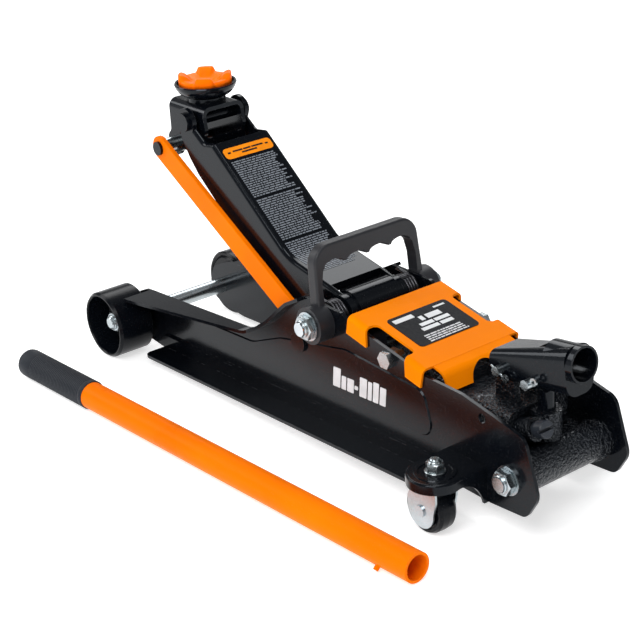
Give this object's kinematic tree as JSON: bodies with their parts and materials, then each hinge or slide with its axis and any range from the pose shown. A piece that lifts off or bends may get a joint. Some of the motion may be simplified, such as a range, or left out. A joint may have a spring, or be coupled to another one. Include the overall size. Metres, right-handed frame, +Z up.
{
  "type": "hydraulic floor jack",
  "caption": "Low hydraulic floor jack with a raised lift arm, folding carry handle, swivel casters and a loose pump handle beside it.",
  "frame": {"origin": "on the floor under the middle of the whole layout, jack and loose handle together", "axes": "+X from the front wheels towards the handle socket, +Y away from the loose pump handle, +Z up"},
  "size_m": [0.5738, 0.2874, 0.276],
  "materials": {
    "black_steel": "gloss black enamel, slightly speckled",
    "orange_steel": "satin orange enamel",
    "grey_steel": "satin dark enamel",
    "zinc": "zinc plated",
    "bright_steel": "ground and polished",
    "cast_black": "painted casting",
    "orange_rubber": "matt orange rubber",
    "grip_rubber": "ribbed black rubber",
    "handle_plastic": "grained dark grey plastic",
    "wheel_black": "satin black",
    "spring_steel": "oiled spring steel"
  },
  "bodies": {
    "frame": {"side_plate_left": "black_steel", "side_plate_right": "black_steel", "front_axle": "zinc", "axle_spacers": "zinc", "axle_washers": "zinc", "axle_nuts": "zinc", "caster_table_left": "black_steel", "caster_table_right": "black_steel", "kingpins": "zinc", "kingpin_nuts": "zinc", "lift_arm_shaft": "bright_steel", "shaft_washers": "zinc", "shaft_nuts": "zinc", "link_foot_pins": "black_steel", "pump_cover": "orange_steel", "cover_bolts": "zinc", "cover_nuts": "zinc", "pump_block": "cast_black", "ram_cylinder": "grey_steel", "ram_gland": "grey_steel", "reservoir_tank": "cast_black", "filler_plug": "zinc", "tie_bolt": "zinc", "tie_washers": "zinc", "tie_nuts": "zinc", "socket_pivot_pin": "zinc", "pivot_cotter": "zinc", "return_spring_left": "spring_steel", "return_spring_right": "spring_steel"},
    "front_wheel_left": {"front_wheel_left": "wheel_black"},
    "front_wheel_right": {"front_wheel_right": "wheel_black"},
    "caster_fork_left": {"caster_fork_left": "zinc", "caster_axle_left": "zinc"},
    "caster_wheel_left": {"caster_wheel_left": "wheel_black"},
    "caster_fork_right": {"caster_fork_right": "zinc", "caster_axle_right": "zinc"},
    "caster_wheel_right": {"caster_wheel_right": "wheel_black"},
    "lift_arm": {"lift_arm": "black_steel", "saddle_pivot_pin": "black_steel", "crank_pin": "zinc", "crank_pin_clips": "zinc"},
    "radius_links": {"radius_link_left": "orange_steel", "radius_link_right": "orange_steel", "link_tip_pin": "black_steel", "link_tip_spacers": "zinc"},
    "saddle_bracket": {"saddle_bracket": "black_steel"},
    "saddle": {"saddle": "black_steel", "saddle_clip": "zinc", "saddle_pad": "orange_rubber"},
    "ram": {"ram_piston": "bright_steel", "ram_eye": "grey_steel"},
    "carry_handle": {"carry_handle": "handle_plastic"},
    "handle_socket": {"handle_socket": "black_steel", "plunger_pin": "zinc", "plunger_cotter": "zinc"},
    "pump_plunger": {"pump_plunger": "black_steel"},
    "release_valve": {"release_valve": "grey_steel"},
    "pump_handle": {"handle_tube": "orange_steel", "handle_grip": "grip_rubber", "handle_button": "orange_steel"}
  },
  "joints": [
    {"name": "lift_arm_hinge", "type": "hinge", "parent": "frame", "child": "lift_arm", "pos_m": [0.0396, 0.0377, 0.1145], "axis": [0, 1, 0], "range_deg": [-45.5, 26.5]},
    {"name": "radius_link_hinge", "type": "hinge", "parent": "frame", "child": "radius_links", "pos_m": [0.0061, 0.0377, 0.085], "axis": [0, 1, 0], "range_deg": [-45.5, 26.5]},
    {"name": "saddle_bracket_hinge", "type": "hinge", "parent": "lift_arm", "child": "saddle_bracket", "pos_m": [-0.17301, 0.0377, 0.23824], "axis": [0, 1, 0], "range_deg": [-26.5, 45.5]},
    {"name": "saddle_swivel", "type": "hinge", "parent": "saddle_bracket", "child": "saddle", "pos_m": [-0.1814, 0.0377, 0.2555], "axis": [0, 0, 1], "continuous": true},
    {"name": "ram_slide", "type": "slide", "parent": "frame", "child": "ram", "axis": [-1, 0, 0], "range_m": [-0.038, 0.0222]},
    {"name": "carry_handle_hinge", "type": "hinge", "parent": "frame", "child": "carry_handle", "pos_m": [0.0396, 0.0377, 0.1145], "axis": [0, 1, 0], "range_deg": [-14, 58]},
    {"name": "handle_socket_hinge", "type": "hinge", "parent": "frame", "child": "handle_socket", "pos_m": [0.2156, 0.0377, 0.118], "axis": [0, -1, 0], "range_deg": [0, 23]},
    {"name": "pump_plunger_slide", "type": "slide", "parent": "frame", "child": "pump_plunger", "axis": [0, 0, 1], "range_m": [0, 0.0121]},
    {"name": "release_valve_turn", "type": "hinge", "parent": "frame", "child": "release_valve", "pos_m": [0.2546, 0.0187, 0.0815], "axis": [0.9397, 0, 0.342], "range_deg": [0, 180]},
    {"name": "front_wheel_left_spin", "type": "hinge", "parent": "frame", "child": "front_wheel_left", "pos_m": [-0.2544, -0.0363, 0.0325], "axis": [0, 1, 0], "continuous": true},
    {"name": "front_wheel_right_spin", "type": "hinge", "parent": "frame", "child": "front_wheel_right", "pos_m": [-0.2544, 0.1117, 0.0325], "axis": [0, 1, 0], "continuous": true},
    {"name": "caster_left_swivel", "type": "hinge", "parent": "frame", "child": "caster_fork_left", "pos_m": [0.2106, -0.0453, 0.046], "axis": [0, 0, 1], "continuous": true},
    {"name": "caster_left_spin", "type": "hinge", "parent": "caster_fork_left", "child": "caster_wheel_left", "pos_m": [0.2053, -0.0453, 0.0208], "axis": [0, 1, 0], "continuous": true},
    {"name": "caster_right_swivel", "type": "hinge", "parent": "frame", "child": "caster_fork_right", "pos_m": [0.2106, 0.1207, 0.046], "axis": [0, 0, 1], "continuous": true},
    {"name": "caster_right_spin", "type": "hinge", "parent": "caster_fork_right", "child": "caster_wheel_right", "pos_m": [0.2053, 0.1207, 0.0208], "axis": [0, 1, 0], "continuous": true},
    {"name": "pump_handle_lift", "type": "slide", "parent": "frame", "child": "pump_handle", "axis": [0, 0, 1], "range_m": [0, 0.1]}
  ],
  "couplings": [
    {"joint": "radius_link_hinge", "follows": "lift_arm_hinge", "ratio": 1},
    {"joint": "saddle_bracket_hinge", "follows": "lift_arm_hinge", "ratio": -1},
    {"joint": "ram_slide", "follows": "lift_arm_hinge", "m_per_rad": 0.0475},
    {"joint": "pump_plunger_slide", "follows": "handle_socket_hinge", "m_per_rad": 0.0299}
  ]
}
